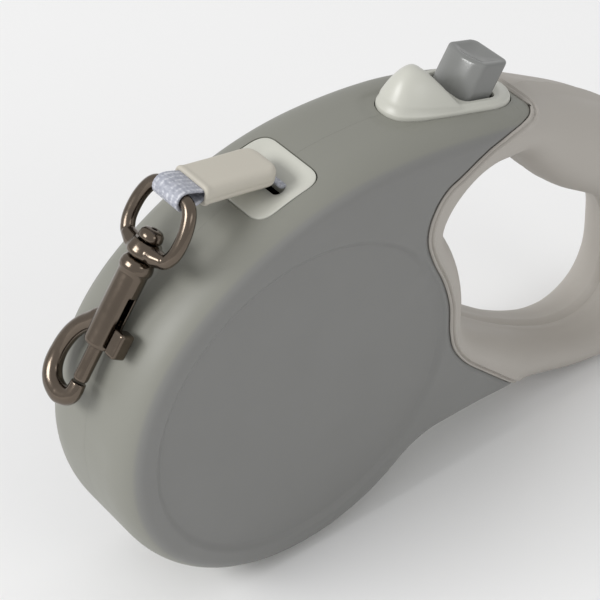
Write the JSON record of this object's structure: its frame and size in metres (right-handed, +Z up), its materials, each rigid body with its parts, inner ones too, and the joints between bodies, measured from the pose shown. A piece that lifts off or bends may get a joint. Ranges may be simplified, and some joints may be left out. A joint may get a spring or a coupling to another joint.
{
  "type": "retractable leash",
  "caption": "Retractable tape leash with a round casing, soft loop handle, thumb brake button and a swivelling bolt hook at the end of its tape.",
  "frame": {"origin": "under the middle of the leash, on the surface that the bottom of its rim stands on", "axes": "+Z up, +X from the tape's mouth and snap at the front to the handle at the back, Y across the casing, along the spool's axle"},
  "size_m": [0.1974, 0.036, 0.1212],
  "materials": {
    "casing": "fine satin texture, mid grey",
    "grip": "soft-touch matt, warm grey",
    "trim": "satin, light grey",
    "boot": "matt, warm light grey",
    "button": "gloss, mid grey",
    "webbing": "woven, silver grey with shiny stripes",
    "gunmetal": "polished dark nickel plate",
    "steel": "bright zinc plate",
    "spring_steel": "oiled spring steel",
    "inner_plastic": "satin, dark grey",
    "acetal": "smooth natural acetal"
  },
  "bodies": {
    "housing": {"left_shell": "casing", "right_shell": "casing", "left_grip": "grip", "right_grip": "grip", "shell_screw_1": "steel", "shell_screw_2": "steel", "shell_screw_3": "steel", "shell_screw_4": "steel", "nozzle_bezel": "trim", "button_trim": "trim", "pawl_pin": "steel", "spool_axle": "steel", "spring_arbor": "steel", "roller_pin": "steel", "tape_run": "webbing"},
    "spool": {"spool": "inner_plastic", "spring_cover": "inner_plastic", "tape_pack": "webbing", "mainspring": "spring_steel"},
    "roller": {"guide_roller": "acetal"},
    "button": {"brake_button": "button", "button_spring": "spring_steel"},
    "pawl": {"brake_pawl": "acetal"},
    "tape_end": {"tape_lead": "webbing", "boot": "boot", "strap_loop": "webbing"},
    "ring": {"snap_ring": "gunmetal"},
    "hook": {"snap_hook": "gunmetal", "swivel_rivet": "gunmetal", "bolt_spring": "spring_steel"},
    "bolt": {"snap_bolt": "gunmetal"}
  },
  "joints": [
    {"name": "spool_turn", "type": "hinge", "parent": "housing", "child": "spool", "pos_m": [-0.0403, 0, 0.053], "axis": [0, -1, 0], "range_deg": [0, 45], "stiffness_Nm_per_rad": 0.05, "springref_deg": -171.89, "deforming": ["mainspring"]},
    {"name": "tape_pull", "type": "slide", "parent": "housing", "child": "tape_end", "axis": [-0.9272, 0, 0.3746], "range_m": [0, 0.0322]},
    {"name": "roller_turn", "type": "hinge", "parent": "housing", "child": "roller", "pos_m": [-0.007, 0, 0.0942], "axis": [0, -1, 0], "range_deg": [0, 528]},
    {"name": "brake_press", "type": "slide", "parent": "housing", "child": "button", "axis": [-0.5299, 0, -0.848], "range_m": [0, 0.0035], "stiffness_N_per_m": 1500, "springref_m": -0.002, "deforming": ["button_spring"]},
    {"name": "pawl_turn", "type": "hinge", "parent": "housing", "child": "pawl", "pos_m": [0.0007, 0, 0.0995], "axis": [0, 1, 0], "range_deg": [0, 11.2]},
    {"name": "ring_swing", "type": "hinge", "parent": "tape_end", "child": "ring", "pos_m": [-0.0646, 0, 0.1182], "axis": [0, 1, 0], "range_deg": [0, 150]},
    {"name": "swivel_turn", "type": "hinge", "parent": "ring", "child": "hook", "pos_m": [-0.0646, 0, 0.1182], "axis": [-0.5664, 0, -0.8241], "range_deg": [-12, 12]},
    {"name": "bolt_slide", "type": "slide", "parent": "hook", "child": "bolt", "axis": [0.5664, 0, 0.8241], "range_m": [0, 0.006], "stiffness_N_per_m": 500, "springref_m": -0.003, "deforming": ["bolt_spring"]}
  ],
  "couplings": [
    {"joint": "tape_pull", "follows": "spool_turn", "m_per_rad": 0.041},
    {"joint": "roller_turn", "follows": "spool_turn", "ratio": 11.714},
    {"joint": "pawl_turn", "follows": "brake_press", "rad_per_m": 55.4}
  ]
}
